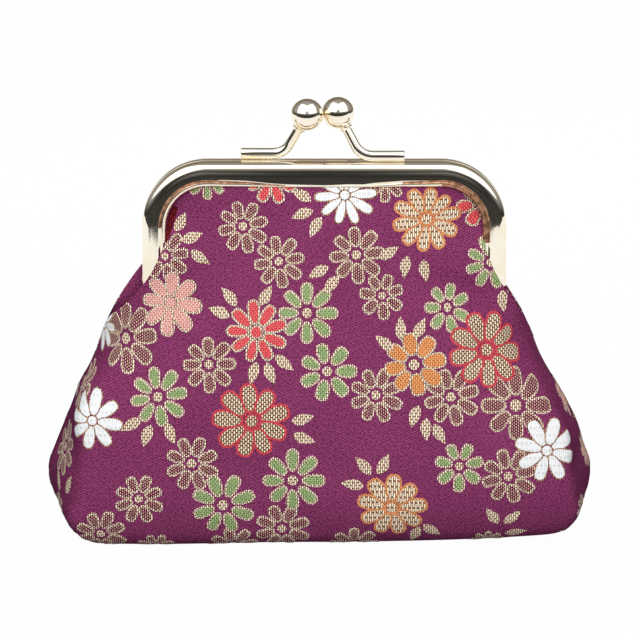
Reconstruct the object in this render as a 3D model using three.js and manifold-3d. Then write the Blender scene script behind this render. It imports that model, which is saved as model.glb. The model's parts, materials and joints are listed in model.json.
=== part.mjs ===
// Clasp purse: a brocade pouch gripped in two hinged, pressed metal frame halves with a ball clasp.
// Millimetres. +Z is up, -Y is the front, and the origin is under the middle of the flat base.
// The rear half of everything is the front half turned half a turn about the Z axis.
import * as THREE from 'three';
import { mergeVertices } from 'three/addons/utils/BufferGeometryUtils.js';
import Module from 'manifold-3d';

const wasm = await Module();
wasm.setup();

// Frame: two U-shaped halves, each pressed from sheet into a channel that opens inwards.
const FRAME_WIDTH = 85;
const FRAME_HEIGHT = 32.5;
const CORNER_RADIUS = 15.3;
const CORNER_STEPS = 9;
const CHANNEL_DEPTH = 4;
const FACE_WIDTH = 5.6;
const BACK_WALL_WIDTH = 4.8;
const SHEET = 0.6;
const FACE_CROWN = 0.2;
const OUTER_EDGE_RADIUS = 2;
const SEAM_EDGE_RADIUS = 0.5;
const LIP_RADIUS = 0.5;
const SEAM_GAP = 0.3;

// Hinge: an ear on each leg end, the rear ear inside the front one, and a rivet through both.
const HINGE_HEIGHT = 56;
const EAR_RADIUS = 2.8;
const EAR_CLEARANCE = 0.3;
const EAR_NECK_WIDTH = 2.4;
const EAR_ROOT = 2.7;
const PIN_RADIUS = 0.9;
const PIN_CLEARANCE = 0.2;
const RIVET_HEAD_RADIUS = 1.7;
const RIVET_HEAD_HEIGHT = 0.8;
const RIVET_TAIL_RADIUS = 1.5;
const RIVET_TAIL_HEIGHT = 0.6;
const RIVET_PLAY = 0.15;

// Clasp: a bent arm brazed along the top bar, and a ball on its collar.
const BALL_DIAMETER = 7.4;
const BALL_CROSSING_CLEARANCE = 0.1;
const BALL_RISE = 10.9;
const BALL_REACH = 1.3;
const FOOT_END = 19;
const FOOT_BEND = 9.6;
const BEND_RADIUS = 3.2;
const ARM_HEIGHT = 2.6;
const ARM_WIDTH = 2.4;
const ARM_TIP_SCALE = 0.82;
const COLLAR_RADIUS = 1.6;
const COLLAR_HEIGHT = 0.9;
const SPIGOT_RADIUS = 0.8;
const SPIGOT_LENGTH = 2;
const SPIGOT_CLEARANCE = 0.3;

// Cloth: an outer panel and a lining panel on each side, split at the hinge into mouth and pouch.
const OUTER_THICKNESS = 0.75;
const LINING_THICKNESS = 0.45;
const LAYER_GAP = 0.1;
const TUCK_CLEARANCE = 0.2;
const MOUTH_FLARE = 0.26;
const MOUTH_FLARE_ROOM = 9;
const SPLIT_GAP = 0.4;

// Pouch: superellipse sections that taper from a wide flat base to the hinge.
const POUCH_WIDTH = 128.8;
const POUCH_DEPTH = 40;
const WIDEST_HEIGHT = 14.5;
const DEEPEST_HEIGHT = 12;
const BASE_WIDTH = 111;
const BASE_DEPTH = 31;
const RIM_OVERHANG = 1.6;
const SIDE_BULGE = 1.2;
const FRONT_BULGE = 1.6;
const BASE_CORNER_POWER = 2.2;
const BASE_SQUARENESS = 3.2;
const RIM_SQUARENESS = 2.5;
const POUCH_COLUMNS = 22;
const SLIT_DEPTH = 8;
const SLIT_HALF_WIDTH = 8.5;
const SLIT_FOOT_HALF_WIDTH = 1;

const HALF_FRAME = FRAME_WIDTH / 2;
const FRAME_TOP = HINGE_HEIGHT + FRAME_HEIGHT;
const LEG_END = HINGE_HEIGHT + EAR_RADIUS + 0.5;
const RIM_HEIGHT = LEG_END - SPLIT_GAP;
const CLOTH_FACE = CHANNEL_DEPTH - SHEET - LAYER_GAP;
const CLOTH_THICKNESS = OUTER_THICKNESS + LAYER_GAP + LINING_THICKNESS;
const CLOTH_TUCK = 2 * SHEET + EAR_CLEARANCE + TUCK_CLEARANCE;
const CORD_DIAMETER = CLOTH_FACE - CLOTH_THICKNESS - LAYER_GAP - SHEET - LAYER_GAP;

const plating = { roughness: 0.12, metalness: 1 };
const gold = new THREE.MeshStandardMaterial({ color: 0xd8c49a, ...plating });
const brocade = new THREE.MeshStandardMaterial({ color: 0x6e2560, roughness: 0.55, metalness: 0 });
const satin = new THREE.MeshStandardMaterial({ color: 0x7c2338, roughness: 0.45, metalness: 0 });
const paper = new THREE.MeshStandardMaterial({ color: 0xcbb78c, roughness: 0.9, metalness: 0 });

const lerp = THREE.MathUtils.lerp;
const vector = (x, y, z) => new THREE.Vector3(x, y, z);

// A solid from points and triangles; coincident points are merged and faces made to point out.
function solidFrom(points, triangles) {
  const loose = new THREE.BufferGeometry().setFromPoints(points).setIndex(triangles);
  const merged = mergeVertices(loose, 1e-4);
  const place = merged.getAttribute('position');
  const index = merged.index.array;
  const corner = (i) => new THREE.Vector3().fromBufferAttribute(place, i);
  let faces = [];
  let volume = 0;
  for (let i = 0; i < index.length; i += 3) {
    const [a, b, c] = [index[i], index[i + 1], index[i + 2]];
    if (a === b || b === c || c === a) continue;
    faces.push(a, b, c);
    volume += corner(a).dot(corner(b).cross(corner(c)));
  }
  if (volume < 0) faces = faces.reverse();
  const mesh = { numProp: 3, vertProperties: place.array, triVerts: new Uint32Array(faces) };
  return new wasm.Manifold(new wasm.Mesh(mesh));
}

// The same for a geometry that three.js made.
function solidOf(geometry) {
  const bare = geometry.clone().deleteAttribute('normal').deleteAttribute('uv');
  const place = bare.getAttribute('position');
  const points = [];
  for (let i = 0; i < place.count; i += 1) points.push(new THREE.Vector3().fromBufferAttribute(place, i));
  return solidFrom(points, bare.index ? [...bare.index.array] : points.map((_, i) => i));
}

// A solid through rings of points, with flat ends; section is the ring's outline in its own plane.
function loft(rings, section) {
  const count = section.length;
  const triangles = [];
  for (let r = 0; r < rings.length - 1; r += 1) {
    for (let i = 0; i < count; i += 1) {
      const [a, b] = [r * count + i, r * count + ((i + 1) % count)];
      triangles.push(a, b, b + count, a, b + count, a + count);
    }
  }
  const turns = Math.sign(THREE.ShapeUtils.area(section));
  const last = (rings.length - 1) * count;
  for (const [a, b, c] of THREE.ShapeUtils.triangulateShape(section, [])) {
    const same = Math.sign(THREE.ShapeUtils.area([section[a], section[b], section[c]])) === turns;
    const [p, q] = same ? [b, c] : [c, b];
    triangles.push(a, q, p, last + a, last + p, last + q);
  }
  return solidFrom(rings.flat(), triangles);
}

// A closed sheet between two grids of points with the same rows and columns.
function sheet(face, back) {
  const [rows, columns] = [face.length, face[0].length];
  const at = (side, r, c) => (side * rows + r) * columns + c;
  const triangles = [];
  const quad = (a, b, c, d) => triangles.push(a, b, c, a, c, d);
  for (let r = 0; r < rows - 1; r += 1) {
    for (let c = 0; c < columns - 1; c += 1) {
      quad(at(0, r, c), at(0, r, c + 1), at(0, r + 1, c + 1), at(0, r + 1, c));
      quad(at(1, r, c), at(1, r + 1, c), at(1, r + 1, c + 1), at(1, r, c + 1));
    }
    quad(at(0, r, 0), at(0, r + 1, 0), at(1, r + 1, 0), at(1, r, 0));
    const c = columns - 1;
    quad(at(0, r + 1, c), at(0, r, c), at(1, r, c), at(1, r + 1, c));
  }
  for (let c = 0; c < columns - 1; c += 1) {
    const r = rows - 1;
    quad(at(0, 0, c + 1), at(0, 0, c), at(1, 0, c), at(1, 0, c + 1));
    quad(at(0, r, c), at(0, r, c + 1), at(1, r, c + 1), at(1, r, c));
  }
  return solidFrom([...face.flat(), ...back.flat()], triangles);
}

function addMesh(group, name, solid, material) {
  const made = solid.getMesh();
  const geometry = new THREE.BufferGeometry();
  geometry.setAttribute('position', new THREE.BufferAttribute(made.vertProperties, 3));
  geometry.setIndex(new THREE.BufferAttribute(made.triVerts, 1));
  geometry.computeVertexNormals();
  const mesh = new THREE.Mesh(geometry, material);
  mesh.name = name;
  group.add(mesh);
}

// Stations round the frame's outer edge, from the left leg over the top bar to the right leg.
function frameStations(legEnd) {
  const shoulder = FRAME_TOP - CORNER_RADIUS;
  const barHalf = HALF_FRAME - CORNER_RADIUS;
  const stations = [{ x: -HALF_FRAME, z: legEnd, angle: Math.PI }];
  for (const [side, start] of [[-1, Math.PI], [1, Math.PI / 2]]) {
    for (let i = 0; i <= CORNER_STEPS; i += 1) {
      const angle = start - (i / CORNER_STEPS) * (Math.PI / 2);
      const x = side * barHalf + CORNER_RADIUS * Math.cos(angle);
      stations.push({ x, z: shoulder + CORNER_RADIUS * Math.sin(angle), angle });
    }
  }
  stations.push({ x: HALF_FRAME, z: legEnd, angle: 0 });
  return stations;
}

// A point by its distance in front of the closing plane and its distance in from the outer edge.
function framePoint({ x, z, angle }, forward, inward) {
  return vector(x - Math.cos(angle) * inward, -(SEAM_GAP / 2 + forward), z - Math.sin(angle) * inward);
}

function sweepFrame(section, legEnd) {
  const ring = (station) => section.map((p) => framePoint(station, p.x, p.y));
  return loft(frameStations(legEnd).map(ring), section);
}

// The channel's section: x is forward of the closing plane and y is inward from the outer edge.
function channelSection() {
  const quarter = Math.PI / 2;
  const bendX = CHANNEL_DEPTH - OUTER_EDGE_RADIUS;
  const lipStart = FACE_WIDTH - LIP_RADIUS;
  const crownX = CHANNEL_DEPTH + 2 * FACE_CROWN;
  const crownY = (OUTER_EDGE_RADIUS + lipStart) / 2;
  const path = new THREE.Path();
  path.moveTo(0, BACK_WALL_WIDTH);
  path.absarc(SEAM_EDGE_RADIUS, SEAM_EDGE_RADIUS, SEAM_EDGE_RADIUS, 2 * quarter, 3 * quarter);
  path.absarc(bendX, OUTER_EDGE_RADIUS, OUTER_EDGE_RADIUS, 3 * quarter, 4 * quarter);
  path.quadraticCurveTo(crownX, crownY, CHANNEL_DEPTH, lipStart);
  path.absarc(CHANNEL_DEPTH - LIP_RADIUS, lipStart, LIP_RADIUS, 0, quarter);
  path.lineTo(CHANNEL_DEPTH - SHEET, FACE_WIDTH);
  path.absarc(bendX, OUTER_EDGE_RADIUS, OUTER_EDGE_RADIUS - SHEET, 4 * quarter, 3 * quarter, true);
  path.lineTo(SHEET, SHEET);
  path.lineTo(SHEET, BACK_WALL_WIDTH);
  return path.getPoints(3).filter((p, i, all) => i === 0 || p.distanceTo(all[i - 1]) > 1e-6);
}

// A plate in the plane across X: its outline is given in Y and Z.
function sidePlate(shape, innerX, thickness) {
  const geometry = new THREE.ExtrudeGeometry(shape, {
    depth: thickness, bevelEnabled: false, curveSegments: 14,
  });
  const axes = new THREE.Matrix4().makeBasis(vector(0, 1, 0), vector(0, 0, 1), vector(1, 0, 0));
  return solidOf(geometry.applyMatrix4(axes).translate(innerX, 0, 0));
}

function crossPin(radius, fromX, toX) {
  const geometry = new THREE.CylinderGeometry(radius, radius, toX - fromX, 18);
  return solidOf(geometry.rotateZ(Math.PI / 2).translate((fromX + toX) / 2, 0, HINGE_HEIGHT));
}

// Ears on both legs, set in from the frame's outer side and joggled to the leg's outer wall.
function ears(inset) {
  const near = -(SEAM_GAP / 2 + SEAM_EDGE_RADIUS);
  const top = LEG_END + EAR_ROOT;
  const outline = new THREE.Shape();
  outline.moveTo(near, top);
  outline.lineTo(near - EAR_NECK_WIDTH, top);
  outline.absarc(0, HINGE_HEIGHT, EAR_RADIUS, Math.PI, Math.PI * 2.5, false);
  outline.lineTo(near, LEG_END + SHEET);
  const joggle = new THREE.Shape();
  joggle.moveTo(near, top);
  joggle.lineTo(near - EAR_NECK_WIDTH, top);
  joggle.lineTo(near - EAR_NECK_WIDTH, LEG_END + SPLIT_GAP);
  joggle.lineTo(near, LEG_END + SPLIT_GAP);
  const innerX = HALF_FRAME - inset - SHEET;
  const plates = [];
  for (const side of [-1, 1]) {
    const start = (from, thickness) => (side > 0 ? from : -from - thickness);
    plates.push(sidePlate(outline, start(innerX, SHEET), SHEET));
    if (inset) plates.push(sidePlate(joggle, start(innerX, inset + SHEET / 2), inset + SHEET / 2));
  }
  return plates;
}

function frameHalf(inset) {
  let frame = sweepFrame(channelSection(), LEG_END);
  for (const plate of ears(inset)) frame = frame.add(plate);
  const reach = HALF_FRAME + SHEET;
  return frame.subtract(crossPin(PIN_RADIUS + PIN_CLEARANCE, -reach, reach));
}

// A rivet through both ears, domed outside and peened inside, standing along +X.
function rivet() {
  const headBase = HALF_FRAME + RIVET_PLAY;
  const tailBase = HALF_FRAME - SHEET - EAR_CLEARANCE - SHEET - RIVET_PLAY;
  const profile = new THREE.Path();
  profile.moveTo(0, tailBase - RIVET_TAIL_HEIGHT);
  profile.lineTo(RIVET_TAIL_RADIUS * 0.8, tailBase - RIVET_TAIL_HEIGHT);
  profile.lineTo(RIVET_TAIL_RADIUS, tailBase - RIVET_TAIL_HEIGHT / 2);
  profile.lineTo(RIVET_TAIL_RADIUS, tailBase);
  profile.lineTo(PIN_RADIUS, tailBase);
  profile.lineTo(PIN_RADIUS, headBase);
  profile.lineTo(RIVET_HEAD_RADIUS, headBase);
  profile.absellipse(0, headBase, RIVET_HEAD_RADIUS, RIVET_HEAD_HEIGHT, 0, Math.PI / 2, false);
  const points = profile.getPoints(5).filter((p, i, all) => i === 0 || p.distanceTo(all[i - 1]) > 1e-6);
  points[points.length - 1].x = 0;
  const turned = new THREE.LatheGeometry(points, 18).rotateZ(-Math.PI / 2);
  return solidOf(turned.translate(0, 0, HINGE_HEIGHT));
}

// Where the front clasp's arm starts, where its ball is, and the straight run between bend and ball.
const FOOT_Y = -(SEAM_GAP / 2 + SEAM_EDGE_RADIUS + ARM_WIDTH / 2);
const FOOT_Z = FRAME_TOP + ARM_HEIGHT / 2;
const BALL_RADIUS = BALL_DIAMETER / 2;
const BALL_X = (BALL_DIAMETER + BALL_CROSSING_CLEARANCE) / 2;
const ballCentre = vector(BALL_X, BALL_REACH, FRAME_TOP + BALL_RISE);
const bendCorner = vector(FOOT_BEND, FOOT_Y, FOOT_Z);
const armDirection = ballCentre.clone().sub(bendCorner).normalize();

function claspArm() {
  const tip = ballCentre.clone().addScaledVector(armDirection, -(BALL_RADIUS + COLLAR_HEIGHT));
  const bendStart = bendCorner.clone().add(vector(BEND_RADIUS, 0, 0));
  const bendEnd = bendCorner.clone().addScaledVector(armDirection, BEND_RADIUS);
  const bend = new THREE.QuadraticBezierCurve3(bendStart, bendCorner, bendEnd);
  const path = [vector(FOOT_END, FOOT_Y, FOOT_Z), ...bend.getPoints(8), tip];
  const section = new THREE.Shape();
  const [halfWidth, halfHeight, round] = [ARM_WIDTH / 2, ARM_HEIGHT / 2, 0.7];
  section.moveTo(-halfWidth, -halfHeight);
  section.lineTo(halfWidth, -halfHeight);
  section.absarc(halfWidth - round, halfHeight - round, round, 0, Math.PI / 2);
  section.absarc(-halfWidth + round, halfHeight - round, round, Math.PI / 2, Math.PI);
  const outline = section.getPoints(4).filter((p, i, all) => i === 0 || p.distanceTo(all[i - 1]) > 1e-6);
  const rings = path.map((point, i) => {
    const before = path[Math.max(i - 1, 0)];
    const after = path[Math.min(i + 1, path.length - 1)];
    const along = after.clone().sub(before).normalize();
    const across = along.clone().cross(vector(0, 0, 1)).normalize();
    const up = across.clone().cross(along);
    const scale = lerp(1, ARM_TIP_SCALE, Math.max(0, i - 1) / (path.length - 2));
    return outline.map((p) => point.clone()
      .addScaledVector(across, p.x * scale)
      .addScaledVector(up, p.y * scale));
  });
  const base = -(BALL_RADIUS + COLLAR_HEIGHT + 0.4);
  const seat = -(BALL_RADIUS + RIVET_PLAY);
  const profile = [[0, base], [COLLAR_RADIUS * 0.7, base], [COLLAR_RADIUS, seat - COLLAR_HEIGHT / 2],
    [COLLAR_RADIUS * 0.85, seat], [SPIGOT_RADIUS, seat], [SPIGOT_RADIUS, seat + SPIGOT_LENGTH],
    [0, seat + SPIGOT_LENGTH]].map(([r, h]) => new THREE.Vector2(r, h));
  return loft(rings, outline).add(solidOf(alongArm(new THREE.LatheGeometry(profile, 18))));
}

// Turns a geometry that stands along Y at the origin to point up the arm from the ball's centre.
function alongArm(geometry) {
  const turn = new THREE.Quaternion().setFromUnitVectors(vector(0, 1, 0), armDirection);
  return geometry.applyQuaternion(turn).translate(ballCentre.x, ballCentre.y, ballCentre.z);
}

function claspBall() {
  const bore = SPIGOT_RADIUS + SPIGOT_CLEARANCE;
  const deep = SPIGOT_LENGTH + RIVET_PLAY + SPIGOT_CLEARANCE;
  const drill = new THREE.CylinderGeometry(bore, bore, 2 * deep, 16).translate(0, -BALL_RADIUS, 0);
  const ball = alongArm(new THREE.SphereGeometry(BALL_RADIUS, 24, 14));
  return solidOf(ball).subtract(solidOf(alongArm(drill)));
}

// The paper cord that wedges the cloth in the channel, against its back wall.
function paperCord() {
  const radius = CORD_DIAMETER / 2;
  const round = new THREE.Path().absarc(
    SHEET + LAYER_GAP + radius, CLOTH_TUCK + radius, radius, 0, Math.PI * 2,
  );
  return sweepFrame(round.getPoints(7).slice(0, -1), LEG_END + SHEET);
}

// How far in from the frame's outer edge a point of the mouth lies.
function distanceIn(x, z) {
  const corner = [Math.abs(x) - (HALF_FRAME - CORNER_RADIUS), z - (FRAME_TOP - CORNER_RADIUS)];
  if (corner[0] > 0 && corner[1] > 0) return CORNER_RADIUS - Math.hypot(...corner);
  return CORNER_RADIUS - Math.max(...corner);
}

// Cloth between the frame and the hinge: flat in the channel, then flaring forward as it falls.
function mouthPanel(layerDepth, thickness) {
  const stations = frameStations(LEG_END);
  const pole = vector(0, 0, LEG_END);
  const channelEdge = FACE_WIDTH + SHEET;
  const grid = (depth) => {
    const tucked = stations.map((s) => framePoint(s, 0, CLOTH_TUCK).setY(0));
    const atLip = stations.map((s) => framePoint(s, 0, channelEdge).setY(0));
    const inner = [0.86, 0.66, 0.42, 0].map((f) => atLip.map((p) => pole.clone().lerp(p, f)));
    return [tucked, atLip, ...inner].map((row) => row.map(({ x, z }) => {
      const room = THREE.MathUtils.smoothstep(distanceIn(x, z), channelEdge, channelEdge + MOUTH_FLARE_ROOM);
      const flare = (FRAME_TOP - z) * MOUTH_FLARE * room * (1 - (x / HALF_FRAME) ** 4);
      return vector(x, -(SEAM_GAP / 2 + CLOTH_FACE - depth + flare), z);
    }));
  };
  return sheet(grid(layerDepth), grid(layerDepth + thickness));
}

// The pouch's outer half width, half depth and squareness at a height.
function pouchSection(z) {
  const rounding = (height) => {
    const below = Math.max(0, 1 - z / height);
    return (1 - below ** BASE_CORNER_POWER) ** (1 / BASE_CORNER_POWER);
  };
  const taper = (height) => Math.max(0, (z - height) / (RIM_HEIGHT - height));
  const rimHalfDepth = SEAM_GAP / 2 + CLOTH_FACE + (FRAME_TOP - RIM_HEIGHT) * MOUTH_FLARE;
  const wide = taper(WIDEST_HEIGHT);
  const deep = taper(DEEPEST_HEIGHT);
  const halfWidth = z < WIDEST_HEIGHT
    ? lerp(BASE_WIDTH / 2, POUCH_WIDTH / 2, rounding(WIDEST_HEIGHT))
    : lerp(POUCH_WIDTH / 2, HALF_FRAME + RIM_OVERHANG, wide) + SIDE_BULGE * Math.sin(Math.PI * wide);
  const halfDepth = z < DEEPEST_HEIGHT
    ? lerp(BASE_DEPTH / 2, POUCH_DEPTH / 2, rounding(DEEPEST_HEIGHT))
    : lerp(POUCH_DEPTH / 2, rimHalfDepth, deep) + FRONT_BULGE * Math.sin(Math.PI * deep);
  return { halfWidth, halfDepth, power: lerp(BASE_SQUARENESS, RIM_SQUARENESS, z / RIM_HEIGHT) };
}

// One half of the pouch: from the seam under the base, round the front, up to the hinge.
function pouchPanel(layerDepth, thickness) {
  const heights = [0, 0.8, 2.6, 5.5, 9.5, 15, 22, 31, 41, 51, RIM_HEIGHT];
  const grid = (depth) => {
    const row = (z, share) => {
      const { halfWidth, halfDepth, power } = pouchSection(z);
      const points = [];
      for (let i = 0; i <= POUCH_COLUMNS; i += 1) {
        const angle = Math.PI * (i / POUCH_COLUMNS);
        const across = Math.sign(Math.cos(angle)) * Math.abs(Math.cos(angle)) ** (2 / power);
        const forward = Math.max(0, Math.sin(angle)) ** (2 / power) * share;
        const y = -Math.max(SEAM_GAP / 2, (halfDepth - depth) * forward);
        points.push(vector((halfWidth - depth) * across, y, Math.max(z, depth)));
      }
      return points;
    };
    return [row(0, 0), row(0, 0.5), ...heights.map((z) => row(z, 1))];
  };
  return sheet(grid(layerDepth), grid(layerDepth + thickness)).subtract(hingeSlit());
}

// The side seam stops below the hinge, and the cloth parts round the ears and rivets.
function hingeSlit() {
  const foot = HINGE_HEIGHT - SLIT_DEPTH + 3;
  const knee = HINGE_HEIGHT - EAR_RADIUS + 1;
  const top = LEG_END + 1;
  const outline = new THREE.Shape();
  outline.moveTo(-SLIT_HALF_WIDTH, top);
  outline.lineTo(-SLIT_HALF_WIDTH, knee);
  outline.lineTo(-SLIT_FOOT_HALF_WIDTH, foot);
  outline.lineTo(SLIT_FOOT_HALF_WIDTH, foot);
  outline.lineTo(SLIT_HALF_WIDTH, knee);
  outline.lineTo(SLIT_HALF_WIDTH, top);
  const depth = POUCH_WIDTH / 2;
  const inside = HALF_FRAME - FACE_WIDTH - 1;
  return sidePlate(outline, inside, depth).add(sidePlate(outline, -inside - depth, depth));
}

const liningDepth = OUTER_THICKNESS + LAYER_GAP;
const purse = new THREE.Group();
for (const side of ['front', 'rear']) {
  const half = new THREE.Group();
  if (side === 'rear') half.rotation.z = Math.PI;
  const earInset = side === 'rear' ? SHEET + EAR_CLEARANCE : 0;
  addMesh(half, `${side}_frame`, frameHalf(earInset), gold);
  addMesh(half, `${side}_clasp_arm`, claspArm(), gold);
  addMesh(half, `${side}_clasp_ball`, claspBall(), gold);
  addMesh(half, `${side}_paper_cord`, paperCord(), paper);
  addMesh(half, `${side}_outer_mouth`, mouthPanel(0, OUTER_THICKNESS), brocade);
  addMesh(half, `${side}_lining_mouth`, mouthPanel(liningDepth, LINING_THICKNESS), satin);
  addMesh(half, `${side}_outer_pouch`, pouchPanel(0, OUTER_THICKNESS), brocade);
  addMesh(half, `${side}_lining_pouch`, pouchPanel(liningDepth, LINING_THICKNESS), satin);
  purse.add(half);
}
for (const [name, turn] of [['right_rivet', 0], ['left_rivet', Math.PI]]) {
  const pin = new THREE.Group();
  pin.rotation.z = turn;
  addMesh(pin, name, rivet(), gold);
  purse.add(pin);
}

export default purse;
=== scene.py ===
"""Looks of the brocade clasp purse: plated frame, woven cloth, lining and the studio round it."""

import json
import math

import bpy
import numpy as np
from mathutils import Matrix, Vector, geometry, kdtree

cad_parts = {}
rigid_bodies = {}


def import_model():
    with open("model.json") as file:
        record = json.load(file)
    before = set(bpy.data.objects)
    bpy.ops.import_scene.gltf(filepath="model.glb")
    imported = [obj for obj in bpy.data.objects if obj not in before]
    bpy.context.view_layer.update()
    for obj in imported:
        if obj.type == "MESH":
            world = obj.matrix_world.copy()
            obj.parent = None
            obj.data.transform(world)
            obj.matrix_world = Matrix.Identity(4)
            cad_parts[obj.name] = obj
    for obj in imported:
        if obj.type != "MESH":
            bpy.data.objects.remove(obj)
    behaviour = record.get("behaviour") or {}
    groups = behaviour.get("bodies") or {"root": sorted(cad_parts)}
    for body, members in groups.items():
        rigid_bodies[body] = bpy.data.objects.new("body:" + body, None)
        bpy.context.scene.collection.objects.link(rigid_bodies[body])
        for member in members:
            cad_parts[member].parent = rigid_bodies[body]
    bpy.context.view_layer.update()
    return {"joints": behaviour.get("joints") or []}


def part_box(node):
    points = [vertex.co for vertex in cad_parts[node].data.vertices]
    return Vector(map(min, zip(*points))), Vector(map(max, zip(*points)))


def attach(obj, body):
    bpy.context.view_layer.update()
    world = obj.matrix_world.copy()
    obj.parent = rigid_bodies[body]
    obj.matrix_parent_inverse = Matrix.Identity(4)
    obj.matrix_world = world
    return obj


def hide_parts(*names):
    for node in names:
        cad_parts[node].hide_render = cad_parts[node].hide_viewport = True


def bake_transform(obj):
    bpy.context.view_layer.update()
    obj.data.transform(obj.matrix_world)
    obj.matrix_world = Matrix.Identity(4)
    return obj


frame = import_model()

# Sizes are in millimetres until a mesh is made, and those of the frame come from the CAD nodes.
MM = 0.001
frame_low, frame_high = (np.array(corner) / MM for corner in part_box("front_frame"))
HALF_FRAME = frame_high[0]
FRAME_TOP = frame_high[2]
HINGE = frame["joints"][0]["pos_m"][2] / MM
SEAM_GAP = 0.3
CORNER_RADIUS = 15.3
CHANNEL_DEPTH = 4.0
FACE_WIDTH = 5.6
BACK_WALL_WIDTH = 4.8
SHEET = 0.6
FACE_CROWN = 0.2
OUTER_EDGE_RADIUS = 2.0
SEAM_EDGE_RADIUS = 0.5
LIP_RADII = 0.22, 0.74
LIP_CREASE = 0.16
# The lip grows between these distances from the middle. A copper tint is painted on its crease above a
# height,
# and over its whole bead past a corner: a painted reflection of warm brown surroundings.
LIP_GROWTH = 8, 24
LIP_FACES, CREASE_FACES = 13, 5
REFLECTION_CORNER, REFLECTION_HEIGHT, REFLECTION_GROWTH = 26.0, 72, 0.4
LEG_END = HINGE + 3.3
EAR_RADIUS = 2.8
EAR_NECK, EAR_ROOT, REAR_EAR_INSET = 2.4, 2.7, 0.9
PIN_RADIUS, RIVET_PLAY, RIVET_GRIP = 0.9, 0.15, 1.65
HEAD_RADIUS, HEAD_HEIGHT = 1.7, 0.8
TAIL_RADIUS, TAIL_HEIGHT, TAIL_BEVEL = 1.5, 0.6, 0.3
LAYER_GAP = 0.1
CORD_RADIUS, CORD_TUCK = 0.6, 1.7
PLY_GROOVE, PLY_TWIST = 0.16, 1.1

# The picture: where the camera stands, and what one pixel of the 640 by 640 photograph spans.
PICTURE = 640
CAMERA_ELEVATION = math.radians(13)
CAMERA_DISTANCE = 750.0
PIXEL_SPAN = 0.2354
MIDDLE_COLUMN = 324.2
BASE_ROW = 543.0


def rng(seed):
    return np.random.default_rng(seed)


def smoothstep(low, high, value):
    t = np.clip((np.asarray(value, float) - low) / (high - low), 0, 1)
    return t * t * (3 - 2 * t)


def ease(knots, at):
    """A smooth curve through (position, value) knots, in rising order of position."""
    x, y = np.array(knots, float).T
    slope = np.gradient(y, x)
    i = np.clip(np.searchsorted(x, at) - 1, 0, len(x) - 2)
    span = x[i + 1] - x[i]
    t = np.clip((at - x[i]) / span, 0, 1)
    return ((1 + 2 * t) * (1 - t) ** 2 * y[i] + t * (1 - t) ** 2 * span * slope[i]
            + t * t * (3 - 2 * t) * y[i + 1] + t * t * (t - 1) * span * slope[i + 1])


# Materials

def new_material(name):
    material = bpy.data.materials.new(name)
    material.use_nodes = True
    tree = material.node_tree
    return material, tree, tree.nodes["Principled BSDF"]


def feed(tree, made, inputs):
    """Links or sets a node's inputs."""
    for socket, value in dict(inputs).items():
        if isinstance(value, bpy.types.NodeSocket):
            tree.links.new(value, made.inputs[socket])
        else:
            made.inputs[socket].default_value = value
    return made


def node(tree, kind, inputs=(), **settings):
    made = tree.nodes.new(kind)
    for key, value in settings.items():
        setattr(made, key, value)
    return feed(tree, made, inputs)


def math_node(tree, operation, a, b=0.0, c=0.0):
    return node(tree, "ShaderNodeMath", {0: a, 1: b, 2: c}, operation=operation).outputs[0]


def remap(tree, value, low, high, to_low=0.0, to_high=1.0):
    inputs = {0: value, 1: low, 2: high, 3: to_low, 4: to_high}
    return node(tree, "ShaderNodeMapRange", inputs, interpolation_type="SMOOTHSTEP").outputs[0]


def blend_colours(tree, factor, a, b):
    return node(tree, "ShaderNodeMix", {0: factor, 6: a, 7: b}, data_type="RGBA").outputs[2]


def colour(red, green, blue):
    """A linear colour from the 0 to 255 values that it has on the screen."""
    values = [v / 255 for v in (red, green, blue)]
    linear = [v / 12.92 if v <= 0.04045 else ((v + 0.055) / 1.055) ** 2.4 for v in values]
    return (*linear, 1.0)


def noise_of(tree, place, scale, detail=2.0):
    inputs = {"Vector": place, "Scale": scale, "Detail": detail}
    return node(tree, "ShaderNodeTexNoise", inputs).outputs["Fac"]


def bump(tree, shader, height, distance, strength=1.0):
    inputs = {"Height": height, "Distance": distance, "Strength": strength}
    made = node(tree, "ShaderNodeBump", inputs)
    tree.links.new(made.outputs[0], shader.inputs["Normal"])


def plating_material():
    material, tree, shader = new_material("pale_gold_plating")
    place = node(tree, "ShaderNodeTexCoord").outputs["Object"]
    waves = noise_of(tree, place, 120.0, 1.0)
    scuffs = noise_of(tree, place, 2600.0, 3.0)
    tint = blend_colours(tree, remap(tree, waves, 0.35, 0.65),
                         colour(251, 243, 226), colour(247, 236, 214))
    polish = remap(tree, scuffs, 0.35, 0.8, 0.03, 0.08)
    feed(tree, shader, {"Base Color": tint, "Metallic": 1.0, "Roughness": polish})
    bump(tree, shader, waves, 0.0004, 0.05)
    return material


# A copper tint painted on the frame's lip: a painted reflection of warm brown surroundings, not the
# plating's own colour.
def lip_reflection_material():
    material, tree, shader = new_material("painted_lip_reflection")
    place = node(tree, "ShaderNodeTexCoord").outputs["Object"]
    reflection_streaks = noise_of(tree, place, 700.0, 3.0)
    tint = blend_colours(tree, remap(tree, reflection_streaks, 0.35, 0.65),
                         colour(120, 84, 62), colour(196, 146, 112))
    feed(tree, shader, {"Base Color": tint, "Metallic": 0.7, "Roughness": 0.32})
    return material


def paper_material():
    material, tree, shader = new_material("twisted_paper")
    place = node(tree, "ShaderNodeTexCoord").outputs["Object"]
    fibres = noise_of(tree, place, 2400.0, 4.0)
    tint = blend_colours(tree, fibres, colour(176, 150, 108), colour(222, 202, 160))
    feed(tree, shader, {"Base Color": tint, "Roughness": 0.95})
    bump(tree, shader, fibres, 0.0002, 0.6)
    return material


def cloth_axes(tree):
    """The cloth's own directions in millimetres: across the loom, and along it."""
    where = node(tree, "ShaderNodeUVMap", uv_map="cloth_mm").outputs[0]
    split = node(tree, "ShaderNodeSeparateXYZ", {0: where})
    return where, split.outputs[0], split.outputs[1]


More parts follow.
